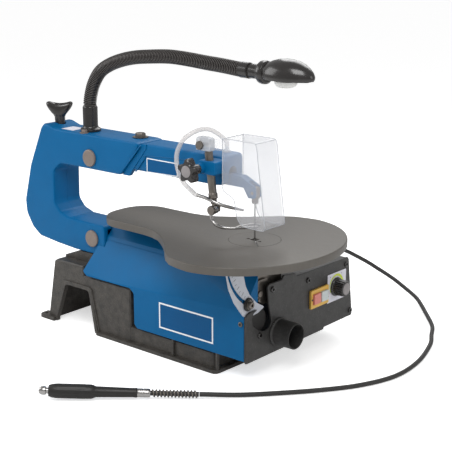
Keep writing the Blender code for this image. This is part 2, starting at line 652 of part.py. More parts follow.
# ---------------------------------------------------------------- hold-down and guard
def hold_down():
    pivot = tuple(POST_MID)
    arm = prism(rounded(box2(-66.5, -33, 303, 323), [4, 4, 4, 4]), "Y", -51, -24.4, 1.5, 0, 2)
    boss = turned([(0, -58), (7.5, -58), (8.0, -57), (8.0, -45), (0, -45)], (-59.6, 0, 311.5), (0, 1, 0), 20)
    join(arm, boss)
    bore = turned([(0, -40), (6.3, -40), (6.3, 40), (0, 40)], POST_MID, SLIDE_AXIS, 20)
    cut(arm, bore)
    cut(arm, turned([(0, -62), (2.9, -62), (2.9, -29), (0, -29)], (-59.6, 0, 311.5), (0, 1, 0), 14))
    finish(arm, "hold_down_clamp", "blue_paint")
    low, high = -50.0, 24.2
    prof = [(0, low), (5.0, low), (5.0, -46), (6.9, -45), (6.9, -38), (6.0, -37), (6.0, high - 0.8),
            (5.2, high), (0, high)]
    post = turned(prof, POST_MID, SLIDE_AXIS, 20)
    finish(post, "hold_down_post", "gloss_black", pivot)
    head = prism(rounded(box2(-71, -44, 337, 357), [2, 2, 5, 5]), "Y", -50, -38.5, 1, 0, 2)
    cut(head, block(-66, -49, -46.5, -41.5, 350, 360))
    cut(head, prism(circle(GUARD_PIN, 2.9, 14), "Y", -60, -30))
    finish(head, "guard_bracket", "clear_plastic", pivot)
    gx, gz = GUARD_PIN
    prof = [(0, -54), (6, -54), (6.5, -53), (6.5, -50.4), (2.6, -50.4), (2.6, -34), (0, -34)]
    pin = turned(prof, (gx, 0, gz), (0, 1, 0), 18)
    finish(pin, "guard_screw", "gloss_black", pivot)
    leg = prism(rounded([(-47, 226), (-47, 259), (-34, 259), (-34, 240), (-39, 226)], [1, 3, 3, 3, 1], 3),
                "Y", -46.6, -42.2)
    sole = [(-47, -46.6), (-22, -46.6), (10, -16), (10, -3.6), (-4.5, -3.6), (-4.5, 3.6), (10, 3.6),
            (10, 6.4), (-10, 6.4), (-47, -30)]
    join(leg, prism(rounded(sole, [2, 4, 4, 1, 1, 1, 1, 1, 4, 4], 2), "Z", 224, 227))
    lug = turned([(0, -48.6), (6, -48.6), (6, -40.4), (0, -40.4)], (-40.5, 0, 251), (0, 1, 0), 18)
    join(leg, lug)
    cut(leg, prism(circle((-40.5, 251), 2.6, 14), "Y", -60, -30))
    foot_pin = (-40.5, -42, 251)
    finish(leg, "presser_foot", "steel", foot_pin)
    plate = [(-49, 261.2), (-49, 247), (-36, 247), (-36, 261.2)]
    yoke = prism(rounded(plate, [1, 3, 3, 1], 3), "Y", -40.1, -35.6)
    join(yoke, turned([(0, 259.4), (4.6, 259.4), (4.6, 261.4), (0, 261.4)], (-43.4, -42, 0), (0, 0, 1), 16))
    cut(yoke, prism(circle((-40.5, 251), 2.6, 14), "Y", -60, -30))
    finish(yoke, "foot_yoke", "dark_steel", pivot)
    screw = turned([(0, -53), (6.6, -53), (7.0, -52), (7.0, -48.9), (2.3, -48.9), (2.3, -33.6), (0, -33.6)],
                   (-40.5, 0, 251), (0, 1, 0), 18)
    finish(screw, "foot_screw", "gloss_black", pivot)
    lobe = []
    for i in range(40):
        ang = 2 * math.pi * i / 40
        reach = 15.2 + 3.2 * math.cos(5 * ang)
        lobe.append((-59.6 + reach * math.sin(ang), 311.5 + reach * math.cos(ang)))
    knob = prism(lobe, "Y", -84, -69, 1.5, 1.5, 1)
    join(knob, turned([(0, -70), (9, -70), (7, -62), (7, -58.4), (2.5, -58.4), (2.5, -50.5), (0, -50.5)],
                      (-59.6, 0, 311.5), (0, 1, 0), 20))
    finish(knob, "hold_down_knob", "gloss_black", (-59.6, -76, 311.5))
    path = smooth([(-66, -51.6, 270), (-52, -52, 269), (-38, -51.8, 266), (-26, -46, 261), (-14, -34, 256),
                   (-3, -22, 252)], 14)
    finish(tube(path, [2.6] * 10 + [2.4, 2.1, 1.8, 1.6], 10), "blower_nozzle", "steel", pivot)


def guard_shell():
    gx, gz = GUARD_PIN
    line = [(-31, 357), (31, 357), (48, 236), (44, 231.5), (12, 232), (1, 240), (-5, 252), (-8, 268),
            (-19, 274), (-31, 283)]
    solid = prism(rounded(line, [2, 4, 3, 3, 8, 8, 6, 5, 6, 3], 3), "Y", -38, 10)
    inner = [(-60, 355), (29, 355), (46.6, 228), (46, 200), (-60, 200)]
    cut(solid, prism(inner, "Y", -36, 8))
    lug = [(-31.5, 357), (-60, 353.5), (-69.5, 350), (-69.5, 340), (-62, 336.5), (-31.5, 338)]
    arm = prism(rounded(lug, [0, 4, 4, 4, 4, 0]), "Y", -38, -36)
    arm.data.transform(Matrix.Translation((0.6, 0, 0)))
    join(solid, arm)
    cut(solid, prism(circle((gx, gz), 2.9, 14), "Y", -45, -30))
    finish(solid, "blade_guard", "clear_plastic", (gx, -38, gz))


# ---------------------------------------------------------------- lamp
def lamp_parts():
    prof = [(7.2, 327.4), (17, 327.4), (17, 331), (13.5, 333), (12.2, 336), (12.2, 366), (11.4, 368),
            (7.2, 368)]
    finish(turned(prof, (-343, LAMP_Y, 0), (0, 0, 1), 24, closed=True), "gooseneck_socket", "gloss_black")
    y = LAMP_Y
    route = [(-343, y, 369), (-342.8, y, 374), (-340, y, 386), (-332.5, y, 405), (-317.6, y, 424.6),
             (-296.4, y, 437.5), (-267.5, y, 447.7), (-236, y, 454.4), (-200, y, 458.3), (-170, y, 460.5),
             (-147, y, 460.6), (-119, y, 459.2), (-91, y, 457.2), (-59, y, 455.4), (-30, y, 453),
             (-18, y, 452.2), (-6, y, 452.0)]
    path = smooth(route, 36)
    path[0] = Vector((-343, y, 369.6))
    neck = tube([(-343, y, 345), (-343, y, 368.2)] + path, [6.7, 6.7] + [10.6] * len(path), 14)
    pivot = (-343, y, 345)
    finish(neck, "gooseneck", "rubber_black", pivot)
    way = Vector((1, 0, 0))
    base = Vector((-5.5, y, 452.0))
    prof = [(0, 0), (9.6, 0), (10.6, 1), (10.6, 13), (13, 15), (16.2, 19), (17, 24), (16.4, 28), (14, 30),
            (6.4, 30), (6.4, 16), (0, 16)]
    collar = turned(prof, base, way, 24)
    finish(collar, "lamp_collar", "gloss_black", pivot)
    centre = Vector((0, y, 452.0))
    egg = [(0, 20), (6.0, 20), (6.0, 25.4), (11, 26), (14, 29), (18, 38), (21.5, 49), (23.6, 61), (24, 71),
           (22.6, 82), (19, 92), (13, 99.5), (6, 103), (0, 103.6)]
    hood = turned(egg, centre, (1, 0, 0), 24)
    hollow = [(0, 31), (10, 32), (15.8, 39), (19.3, 49), (21.4, 61), (21.8, 71), (20.4, 81), (16.8, 90.4),
              (11.4, 97), (0, 100.6)]
    cut(hood, turned(hollow, centre, (1, 0, 0), 20))
    cut(hood, prism([(33, 447), (110, 447), (110, 400), (33, 400)], "Y", -60, 60))
    hinge = (22, y, 452)
    finish(hood, "lamp_hood", "gloss_black", hinge)
    lens = [(0, 12), (14, 12), (16, 9), (15.6, 5.4), (13.4, 2.4), (9, 0.6), (0, 0)]
    finish(turned(lens, (56, y, 434.2), (0, 0, 1), 28), "lamp_lens", "white_lens", hinge)


# ---------------------------------------------------------------- hoses and flexible shaft
def hose_parts():
    prof = [(0, 326.3), (5.5, 326.3), (5.5, 329), (3.4, 330), (3.4, 334.4), (0, 334.4)]
    finish(turned(prof, (-61, 8.5, 0), (0, 0, 1), 16), "hose_nipple", "clear_plastic")
    route = [(-66.9, -51.6, 270.0), (-70.5, -51.6, 270.4), (-79, -51, 275), (-93, -51.5, 284),
             (-102, -52, 297), (-106.5, -52, 310), (-109, -50, 321), (-109, -47, 331), (-107, -42, 341), (-103, -38, 348.5), (-98, -32, 354),
             (-93, -26, 358), (-90, -19, 360), (-86, -12, 360.5), (-81, -5, 359), (-74, 1, 354),
             (-66.5, 6, 347.5), (-61.8, 8.4, 342), (-61, 8.5, 338), (-61, 8.5, 334.9)]
    finish(tube(smooth(route, 30), 3.5, 8), "air_hose", "clear_plastic")
    bolt = turned([(0, 327.0), (11, 327.0), (11, 328.6), (7.4, 328.6), (7.4, 333.6), (6.4, 334.6),
                   (0, 334.6)], (-240, 8, 0), (0, 0, 1), 16)
    finish(bolt, "arm_bolt", "dark_steel")
    gland = [(4.2, 215.3), (13, 215.3), (13, 218), (10.5, 219), (9.5, 222), (7.5, 228), (4.2, 228)]
    finish(turned(gland, (MOTOR[0], 0, MOTOR[1]), (0, 1, 0), 24, closed=True), "shaft_port", "rubber_black")


SHAFT_ROUTE = [(-75, 216.5, 96), (-75, 229, 96), (-82, 266, 101.5), (-92, 306, 102), (-98.5, 346, 96),
               (-98, 385, 82), (-89, 409, 68), (-75, 427, 54.5), (-59, 437, 43), (-42, 442, 34),
               (-24, 443, 26), (-7, 440, 19.5), (13, 433, 14), (33, 422, 10), (52, 405, 7),
               (74, 382, 4.5), (118, 330, 4), (140, 290, 4),
               (161, 249, 4), (183, 174, 4), (186, 104, 4), (165, 42, 4), (131, -10, 4), (93, -56, 4),
               (54, -98, 4.2)]
HAND_END = Vector((12.1, -139.2, 7.0))
HAND_DIR = Vector((-0.757, -0.653, 0.02)).normalized()


def flexible_shaft():
    route = SHAFT_ROUTE + [tuple(HAND_END - HAND_DIR * 10.0), tuple(HAND_END - HAND_DIR * 0.3)]
    points = smooth(route, 74)
    data = bpy.data.curves.new("flex_shaft", "CURVE")
    data.dimensions = "3D"
    data.bevel_depth = 3.5 * MM
    data.bevel_resolution = 2
    data.use_fill_caps = True
    spline = data.splines.new("POLY")
    spline.points.add(len(points) - 1)
    for slot, point in zip(spline.points, points):
        slot.co = (*((point + ROW) * MM), 1.0)
    obj = bpy.data.objects.new("flex_shaft", data)
    bpy.context.scene.collection.objects.link(obj)
    data.materials.append(material("rubber_black"))


def hand_point(dist, height):
    flat = Vector((HAND_DIR.x, HAND_DIR.y, 0)).normalized()
    point = HAND_END + flat * dist
    return Vector((point.x, point.y, height))


def handpiece_parts():
    start = HAND_END + HAND_DIR * 0.3
    lie = (hand_point(150, 11.7) - start).normalized()
    relief = [(0, 0), (4.4, 0)]
    step = 0.8
    while step < 63:
        relief += [(4.4, step), (5.8, step + 1.6), (4.4, step + 3.2)]
        step += 6.3
    relief += [(4.6, 69), (0, 69)]
    spring = turned(relief, start, lie, 10)
    finish(spring, "spring_relief", "steel")
    body = [(0, 69.4), (5.8, 69.4), (6.3, 70.4), (6.3, 88), (6.9, 88.6), (7.0, 90.5), (6.8, 96), (7.2, 118),
            (7.9, 146), (9.2, 149.5), (10.1, 153), (10.3, 160), (10.3, 203), (9.6, 209), (8.0, 214), (0, 214)]
    grip = turned(body, start, lie, 20)
    cut(grip, turned([(0, 206), (3.4, 206), (3.4, 220), (0, 220)], start, lie, 14))
    finish(grip, "handpiece", "gloss_black")
    nose = [(0, 207), (3.0, 207), (3.0, 214.4), (4.4, 214.4), (4.4, 217), (6.0, 217.6), (6.3, 221),
            (5.6, 225), (3.6, 227.4), (0, 228)]
    tip = turned(nose, start, lie, 14)
    finish(tip, "collet", "dark_steel", tuple(start + lie * 214.4))


def main():
    clear_scene()
    base_casting()
    side_cover()
    frame_halves()
    arm_housing()
    pivot_pins()
    rocker("upper_arm", 0.0, "upper_arm_bush")
    rocker("lower_arm", ARM_DROP, "lower_arm_bush")
    blade_set()
    tension_parts()
    drive_parts()
    table_parts()
    saddle_parts()
    panel_parts()
    hold_down()
    guard_shell()
    lamp_parts()
    hose_parts()
    flexible_shaft()
    handpiece_parts()


main()
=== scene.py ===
"""Looks of the scroll saw: materials, detail pieces and the studio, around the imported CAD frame.

Lengths are in millimetres around the blade, as in the CAD: X forward to the operator, Y to the
operator's right, Z up. at() turns such a point into the row frame's metres.
"""
import math

import bmesh
import bpy
from mathutils import Matrix, Vector


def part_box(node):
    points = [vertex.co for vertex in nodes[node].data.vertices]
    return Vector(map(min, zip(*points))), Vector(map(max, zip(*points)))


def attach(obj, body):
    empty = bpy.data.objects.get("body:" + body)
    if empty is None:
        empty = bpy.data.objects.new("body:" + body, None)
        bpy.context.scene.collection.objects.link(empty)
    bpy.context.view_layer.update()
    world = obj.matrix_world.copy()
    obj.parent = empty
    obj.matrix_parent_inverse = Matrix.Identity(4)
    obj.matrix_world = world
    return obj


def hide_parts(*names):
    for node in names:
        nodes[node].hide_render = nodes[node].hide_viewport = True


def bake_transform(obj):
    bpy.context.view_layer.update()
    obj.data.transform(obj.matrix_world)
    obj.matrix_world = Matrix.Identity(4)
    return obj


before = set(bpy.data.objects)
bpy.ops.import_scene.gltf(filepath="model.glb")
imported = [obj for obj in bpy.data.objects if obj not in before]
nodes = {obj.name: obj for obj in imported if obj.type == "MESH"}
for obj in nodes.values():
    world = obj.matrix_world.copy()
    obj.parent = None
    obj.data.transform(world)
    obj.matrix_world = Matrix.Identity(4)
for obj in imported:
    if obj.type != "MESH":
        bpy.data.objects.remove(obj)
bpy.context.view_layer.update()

MM = 0.001
blade_lo, blade_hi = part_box("blade")
BLADE = Vector(((blade_lo.x + blade_hi.x) / 2, (blade_lo.y + blade_hi.y) / 2, 0.0))

# Camera of the photograph's view, in the same millimetres.
CAMERA_AT = (984.8, -1231.1, 649.6)
CAMERA_TURN = 40.2
CAMERA_DIP = 15.1
CAMERA_LENS = 88.32

TABLE_TOP = 204.0
LAMP_Y = -3.0
SCREW_YZ = ((-26, 68), (8, 76), (4, 132), (93, 124), (196, 126), (211, 44))
KNOB_YZ = (168.0, 95.5)

SHAFT_RADIUS = 3.5
SHAFT_ROUTE = [(-75, 216.5, 96), (-75, 229, 96), (-82, 266, 101.5), (-92, 306, 102), (-98.5, 346, 96),
               (-98, 385, 82), (-89, 409, 68), (-75, 427, 54.5), (-59, 437, 43), (-42, 442, 34),
               (-24, 443, 26), (-7, 440, 19.5), (13, 433, 14), (33, 422, 10), (52, 405, 7),
               (74, 382, 4.5), (118, 330, 4), (140, 290, 4), (161, 249, 4), (183, 174, 4), (186, 104, 4),
               (165, 42, 4), (131, -10, 4), (93, -56, 4), (54, -98, 4.2)]
HAND_END = Vector((12.1, -139.2, 7.0))
HAND_DIR = Vector((-0.757, -0.653, 0.02)).normalized()
HAND_REST = 150.0                  # along the handpiece, where its height is HAND_HEIGHT
HAND_HEIGHT = 11.7
HOSE_ROUTE = [(-66.9, -51.6, 270.0), (-70.5, -51.6, 270.4), (-79, -51, 275), (-93, -51.5, 284),
              (-102, -52, 297), (-106.5, -52, 310), (-109, -50, 321), (-109, -47, 331),
              (-107, -42, 341), (-103, -38, 348.5), (-98, -32, 354), (-93, -26, 358), (-90, -19, 360),
              (-86, -12, 360.5), (-81, -5, 359), (-74, 1, 354), (-66.5, 6, 347.5), (-61.8, 8.4, 342),
              (-61, 8.5, 338), (-61, 8.5, 334.9)]
NECK_ROUTE = [(x, LAMP_Y, z) for x, z in (
    (-343, 369), (-342.8, 374), (-340, 386), (-332.5, 405), (-317.6, 424.6), (-296.4, 437.5),
    (-267.5, 447.7), (-236, 454.4), (-200, 458.3), (-170, 460.5), (-147, 460.6), (-119, 459.2),
    (-91, 457.2), (-59, 455.4), (-30, 453), (-18, 452.2), (-6.5, 452.0))]


def at(x, y, z):
    return Vector((x, y, z)) * MM + BLADE


# ---------------------------------------------------------------- camera
def make_camera():
    data = bpy.data.cameras.new("photo_camera")
    data.sensor_width = 36.0
    data.lens = CAMERA_LENS
    data.clip_start = 0.05
    data.clip_end = 50.0
    camera = bpy.data.objects.new("photo_camera", data)
    bpy.context.scene.collection.objects.link(camera)
    camera.location = at(*CAMERA_AT)
    camera.rotation_euler = (math.radians(90.0 - CAMERA_DIP), 0.0, math.radians(CAMERA_TURN))
    bpy.context.scene.camera = camera


# ---------------------------------------------------------------- mesh helpers
def piece(bm, name, look, body, node=None, smooth=True, bevel=0.0):
    """A finished mesh piece from bm, whose points are in millimetres around the blade."""
    bmesh.ops.recalc_face_normals(bm, faces=bm.faces)
    mesh = bpy.data.meshes.new(name)
    bm.to_mesh(mesh)
    bm.free()
    mesh.transform(Matrix.Scale(MM, 4))
    mesh.transform(Matrix.Translation(BLADE))
    obj = bpy.data.objects.new(name, mesh)
    bpy.context.scene.collection.objects.link(obj)
    looks = look if isinstance(look, (list, tuple)) else [look]
    for one in looks:
        mesh.materials.append(one)
    if smooth:
        mesh.shade_smooth()
        mesh.set_sharp_from_angle(angle=math.radians(38.0))
    if bevel > 0.0:
        soften(obj, bevel)
    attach(obj, body)
    if node:
        names = [node] if isinstance(node, str) else node
        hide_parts(*names)
    return obj


def soften(obj, width):
    mod = obj.modifiers.new("bevel", "BEVEL")
    mod.width = width * MM
    mod.segments = 2
    mod.limit_method = "ANGLE"
    mod.angle_limit = math.radians(38.0)
    normal = obj.modifiers.new("normals", "WEIGHTED_NORMAL")
    normal.keep_sharp = True


def axis_point(axis, a, b, t):
    if axis == "X":
        return Vector((t, a, b))
    if axis == "Y":
        return Vector((a, t, b))
    return Vector((a, b, t))


def add_rings(bm, rings, slot=0, cap=True, loop=False):
    rows = [[bm.verts.new(p) for p in ring] for ring in rings]
    pairs = list(zip(rows, rows[1:]))
    if loop:
        pairs.append((rows[-1], rows[0]))
    made = []
    for one, two in pairs:
        count = max(len(one), len(two))
        for i in range(count):
            j = (i + 1) % count
            if len(one) == 1:
                made.append(bm.faces.new((one[0], two[j], two[i])))
            elif len(two) == 1:
                made.append(bm.faces.new((one[i], one[j], two[0])))
            else:
                made.append(bm.faces.new((one[i], one[j], two[j], two[i])))
    if cap and not loop:
        for end in (rows[0], rows[-1]):
            if len(end) > 2:
                made.append(bm.faces.new(end))
    for face in made:
        face.material_index = slot
    return made


def add_prism(bm, outline, axis, lo, hi, slot=0):
    rings = [[axis_point(axis, a, b, t) for a, b in outline] for t in (lo, hi)]
    return add_rings(bm, rings, slot)


def add_turned(bm, profile, centre, direction, sides=32, slot=0, loop=False, wobble=None):
    """A turned body; profile holds (radius, distance); wobble(angle, dist) scales the radius."""
    along = Vector(direction).normalized()
    helper = Vector((0, 0, 1)) if abs(along.z) < 0.9 else Vector((1, 0, 0))
    u = along.cross(helper).normalized()
    v = along.cross(u)
    base = Vector(centre)
    rings = []
    for radius, dist in profile:
        mid = base + along * dist
        if radius <= 0.0:
            rings.append([mid])
            continue
        ring = []
        for i in range(sides):
            ang = 2 * math.pi * i / sides
            reach = radius * (wobble(ang, dist) if wobble else 1.0)
            ring.append(mid + (u * math.cos(ang) + v * math.sin(ang)) * reach)
        rings.append(ring)
    return add_rings(bm, rings, slot, loop=loop)


def smooth_line(points, count):
    """count points at even spacing along a smooth curve through points."""
    pts = [Vector(p) for p in points]
    ext = [pts[0] * 2 - pts[1]] + pts + [pts[-1] * 2 - pts[-2]]
    dense = []
    for i in range(1, len(ext) - 2):
        p0, p1, p2, p3 = ext[i - 1:i + 3]
        for k in range(24):
            t = k / 24.0
            dense.append(0.5 * ((2 * p1) + (p2 - p0) * t + (2 * p0 - 5 * p1 + 4 * p2 - p3) * t * t
                                + (3 * p1 - p0 - 3 * p2 + p3) * t ** 3))
    dense.append(pts[-1])
    walk = [0.0]
    for a, b in zip(dense, dense[1:]):
        walk.append(walk[-1] + (b - a).length)
    out = []
    j = 0
    for i in range(count):
        goal = walk[-1] * i / (count - 1)
        while j < len(walk) - 2 and walk[j + 1] < goal:
            j += 1
        part = (goal - walk[j]) / max(1e-9, walk[j + 1] - walk[j])
        out.append(dense[j].lerp(dense[j + 1], min(1.0, part)))
    return out


def add_tube(bm, path, radii, sides=16, slot=0, cap=True):
    """A round bar along path; radii is one number or one for each point."""
    pts = [Vector(p) for p in path]
    if not isinstance(radii, (list, tuple)):
        radii = [radii] * len(pts)
    tangent = (pts[1] - pts[0]).normalized()
    helper = Vector((0, 1, 0)) if abs(tangent.y) < 0.9 else Vector((1, 0, 0))
    u = (helper - tangent * helper.dot(tangent)).normalized()
    rings = []
    for i, point in enumerate(pts):
        tangent = (pts[min(i + 1, len(pts) - 1)] - pts[max(i - 1, 0)]).normalized()
        u = (u - tangent * u.dot(tangent)).normalized()
        v = tangent.cross(u)
        ring = []
        for k in range(sides):
            ang = 2 * math.pi * k / sides
            ring.append(point + (u * math.cos(ang) + v * math.sin(ang)) * radii[i])
        rings.append(ring)
    return add_rings(bm, rings, slot, cap=cap)


# ---------------------------------------------------------------- materials
def surface(name, colour, rough=0.5, metal=0.0, vary=0.12, grain=120.0, bump=0.1, bump_size=900.0,
            coat=0.0, gloss=0.5, rough_vary=0.08, stretch=None, dust=0.0, bump_depth=0.0003):
    """A procedural material: mottled colour, uneven gloss and fine relief."""
    mat = bpy.data.materials.new(name)
    mat.use_nodes = True
    tree = mat.node_tree
    shader = tree.nodes["Principled BSDF"]
    shader.inputs["Metallic"].default_value = metal
    shader.inputs["Specular IOR Level"].default_value = gloss
    if coat > 0:
        shader.inputs["Coat Weight"].default_value = coat
        shader.inputs["Coat Roughness"].default_value = 0.12
    coords = tree.nodes.new("ShaderNodeTexCoord")
    place = tree.nodes.new("ShaderNodeMapping")
    if stretch:
        place.inputs["Scale"].default_value = stretch
    tree.links.new(coords.outputs["Object"], place.inputs["Vector"])
    cloud = tree.nodes.new("ShaderNodeTexNoise")
    cloud.inputs["Scale"].default_value = grain
    cloud.inputs["Detail"].default_value = 6.0
    cloud.inputs["Roughness"].default_value = 0.6
    tree.links.new(place.outputs["Vector"], cloud.inputs["Vector"])
    ramp = tree.nodes.new("ShaderNodeValToRGB")
    ramp.color_ramp.elements[0].position = 0.3
    ramp.color_ramp.elements[1].position = 0.7
    ramp.color_ramp.elements[0].color = (*[c * (1 - vary) for c in colour], 1.0)
    ramp.color_ramp.elements[1].color = (*[min(1.0, c * (1 + vary)) for c in colour], 1.0)
    tree.links.new(cloud.outputs["Fac"], ramp.inputs["Fac"])
    colour_out = ramp.outputs["Color"]
    if dust > 0:
        specks = tree.nodes.new("ShaderNodeTexNoise")
        specks.inputs["Scale"].default_value = grain * 9
        specks.inputs["Detail"].default_value = 3.0
        tree.links.new(coords.outputs["Object"], specks.inputs["Vector"])
        level = tree.nodes.new("ShaderNodeMapRange")
        level.inputs["From Min"].default_value = 0.56
        level.inputs["From Max"].default_value = 0.72
        level.inputs["To Max"].default_value = dust
        tree.links.new(specks.outputs["Fac"], level.inputs["Value"])
        mix = tree.nodes.new("ShaderNodeMix")
        mix.data_type = "RGBA"
        mix.inputs["B"].default_value = (*[min(1.0, c * 2.2 + 0.05) for c in colour], 1.0)
        tree.links.new(level.outputs["Result"], mix.inputs["Factor"])
        tree.links.new(colour_out, mix.inputs["A"])
        colour_out = mix.outputs["Result"]
    tree.links.new(colour_out, shader.inputs["Base Color"])
    uneven = tree.nodes.new("ShaderNodeMapRange")
    uneven.inputs["To Min"].default_value = max(0.02, rough - rough_vary)
    uneven.inputs["To Max"].default_value = min(1.0, rough + rough_vary)
    tree.links.new(cloud.outputs["Fac"], uneven.inputs["Value"])
    tree.links.new(uneven.outputs["Result"], shader.inputs["Roughness"])
    relief = tree.nodes.new("ShaderNodeTexNoise")
    relief.inputs["Scale"].default_value = bump_size
    relief.inputs["Detail"].default_value = 4.0
    tree.links.new(place.outputs["Vector"], relief.inputs["Vector"])
    bumps = tree.nodes.new("ShaderNodeBump")
    bumps.inputs["Strength"].default_value = bump
    bumps.inputs["Distance"].default_value = bump_depth
    tree.links.new(relief.outputs["Fac"], bumps.inputs["Height"])
    tree.links.new(bumps.outputs["Normal"], shader.inputs["Normal"])
    return mat


def clear_plastic(name, tint, alpha, rough):
    """Clear moulded plastic: mostly see-through, with a soft gloss."""
    mat = bpy.data.materials.new(name)
    mat.use_nodes = True
    tree = mat.node_tree
    shader = tree.nodes["Principled BSDF"]
    shader.inputs["Roughness"].default_value = rough
    shader.inputs["IOR"].default_value = 1.49
    shader.inputs["Alpha"].default_value = alpha
    cloud = tree.nodes.new("ShaderNodeTexNoise")
    cloud.inputs["Scale"].default_value = 60.0
    coords = tree.nodes.new("ShaderNodeTexCoord")
    tree.links.new(coords.outputs["Object"], cloud.inputs["Vector"])
    ramp = tree.nodes.new("ShaderNodeValToRGB")
    ramp.color_ramp.elements[0].color = (*[c * 0.93 for c in tint], 1.0)
    ramp.color_ramp.elements[1].color = (*tint, 1.0)
    tree.links.new(cloud.outputs["Fac"], ramp.inputs["Fac"])
    tree.links.new(ramp.outputs["Color"], shader.inputs["Base Color"])
    return mat


BLUE = surface("blue_enamel", (0.0, 0.118, 0.305), 0.42, vary=0.05, grain=30, bump=0.10, bump_size=700,
               gloss=0.16)
DARK_BLUE = surface("badge_blue", (0.0, 0.088, 0.250), 0.40, gloss=0.16, vary=0.04, grain=60, bump=0.03)
CAST = surface("cast_base", (0.048, 0.043, 0.037), 0.50, vary=0.45, grain=90, bump=0.9, bump_size=380,
               dust=0.35, bump_depth=0.0008)
IRON = surface("table_iron", (0.105, 0.096, 0.084), 0.46, metal=0.15, vary=0.07, grain=45, bump=0.12,
               bump_size=1300, stretch=(1.0, 5.0, 1.0))
PANEL = surface("panel_black", (0.030, 0.029, 0.028), 0.46, vary=0.45, grain=50, bump=0.45, bump_size=800,
                dust=0.3)
SATIN = surface("satin_black", (0.020, 0.019, 0.018), 0.42, vary=0.15, grain=90, bump=0.08, gloss=0.35)
GLOSS = surface("gloss_black", (0.018, 0.016, 0.015), 0.24, vary=0.15, grain=90, bump=0.05, coat=0.3)
# Lighter grey for the crests of the gooseneck's ribs: a painted highlight along every rib.
NECK_RIB_HIGHLIGHT = surface("neck_rib_painted_highlight", (0.12, 0.11, 0.105), 0.35, metal=0.4, vary=0.1, grain=200, bump=0.03)
RUBBER = surface("rubber_black", (0.022, 0.021, 0.020), 0.55, vary=0.2, grain=150, bump=0.3, bump_size=1500)
STEEL = surface("bright_steel", (0.40, 0.39, 0.38), 0.24, metal=1.0, vary=0.06, grain=200, bump=0.06,
                stretch=(1.0, 1.0, 6.0))
DARK_STEEL = surface("dark_steel", (0.20, 0.18, 0.16), 0.36, metal=0.9, vary=0.15, grain=150, bump=0.12)
CAP_GREY = surface("cap_grey", (0.235, 0.190, 0.165), 0.42, metal=0.3, vary=0.08, grain=200, bump=0.1)
LENS = surface("lens_white", (0.86, 0.86, 0.84), 0.30, vary=0.03, grain=100, bump=0.02)
SCALE = surface("scale_grey", (0.50, 0.52, 0.57), 0.38, metal=0.2, vary=0.05, grain=150, bump=0.05)
LABEL = surface("label_white", (0.74, 0.73, 0.80), 0.42, vary=0.03, grain=120, bump=0.02)
WHITE = surface("print_white", (0.95, 0.97, 1.0), 0.40, vary=0.02, grain=100, bump=0.02)
LIME = surface("label_lime", (0.62, 0.74, 0.03), 0.42, vary=0.04, grain=120, bump=0.02)
YELLOW = surface("switch_yellow", (0.78, 0.47, 0.09), 0.40, vary=0.06, grain=150, bump=0.05)
RED = surface("button_red", (0.74, 0.24, 0.20), 0.32, vary=0.08, grain=180, bump=0.03)
GREY = surface("button_grey", (0.60, 0.66, 0.66), 0.32, vary=0.06, grain=180, bump=0.03)
INK = surface("print_dark", (0.03, 0.03, 0.035), 0.5, vary=0.1, grain=150, bump=0.02)
KNOB_CAP = surface("knob_cap", (0.27, 0.25, 0.25), 0.40, vary=0.08, grain=150, bump=0.05)
CLEAR = clear_plastic("clear_guard", (0.84, 0.85, 0.89), 0.24, 0.08)
CLEAR_EDGE = clear_plastic("clear_edge", (0.62, 0.64, 0.68), 0.55, 0.12)
CLEAR_SOFT = clear_plastic("clear_hose", (0.72, 0.69, 0.68), 0.50, 0.2)

NODE_LOOKS = {
    "blue": (BLUE, 0.8, ("frame_half_left", "frame_half_right", "side_cover", "arm_housing", "upper_arm",
                         "lower_arm", "hold_down_clamp")),
    "cast": (CAST, 1.2, ("base_casting",)),
    "iron": (IRON, 0.5, ("table", "table_insert")),
    "panel": (PANEL, 0.6, ("front_panel", "motor_housing", "dust_port")),
    "gloss": (GLOSS, 0.3, ("gooseneck_socket", "hold_down_knob",
                           "lamp_collar")),
    "post": (DARK_STEEL, 0.3, ("hold_down_post", "upper_blade_clamp", "lower_blade_clamp", "connecting_rod",
                               "motor_body", "tilt_trunnion", "trunnion_saddle", "tilt_pointer", "foot_yoke",
                               "guard_screw", "foot_screw",
                               "tilt_lock_screw")),
    "rubber": (RUBBER, 0.3, ("air_bellows", "shaft_port")),
    "steel": (STEEL, 0.2, ("blade", "tension_rod", "motor_shaft", "upper_arm_bush", "lower_arm_bush",
                           "presser_foot", "blower_nozzle")),
    "caps": (CAP_GREY, 0.3, ("upper_pivot_pin", "lower_pivot_pin")),
    "scale": (SCALE, 0.2, ("tilt_quadrant",)),
    "yellow": (YELLOW, 0.3, ("switch_frame",)),
    "red": (RED, 0.4, ("off_button",)),
    "grey": (GREY, 0.4, ("on_button",)),
    "label": (LABEL, 0.2, ("speed_label",)),
    "clear": (CLEAR_EDGE, 0.4, ("guard_bracket", "hose_nipple")),
    "lens": (LENS, 0.4, ("lamp_lens",)),
}


def dress_nodes():
    """Material, welded points and softened edges for every CAD node that stays in view."""
    for look, width, names in NODE_LOOKS.values():
        for name in names:
            obj = nodes[name]
            obj.data.materials.clear()
            obj.data.materials.append(look)
            for poly in obj.data.polygons:
                poly.use_smooth = True
            weld = obj.modifiers.new("weld", "WELD")
            weld.merge_threshold = 0.00001
            if width > 0:
                soften(obj, width)


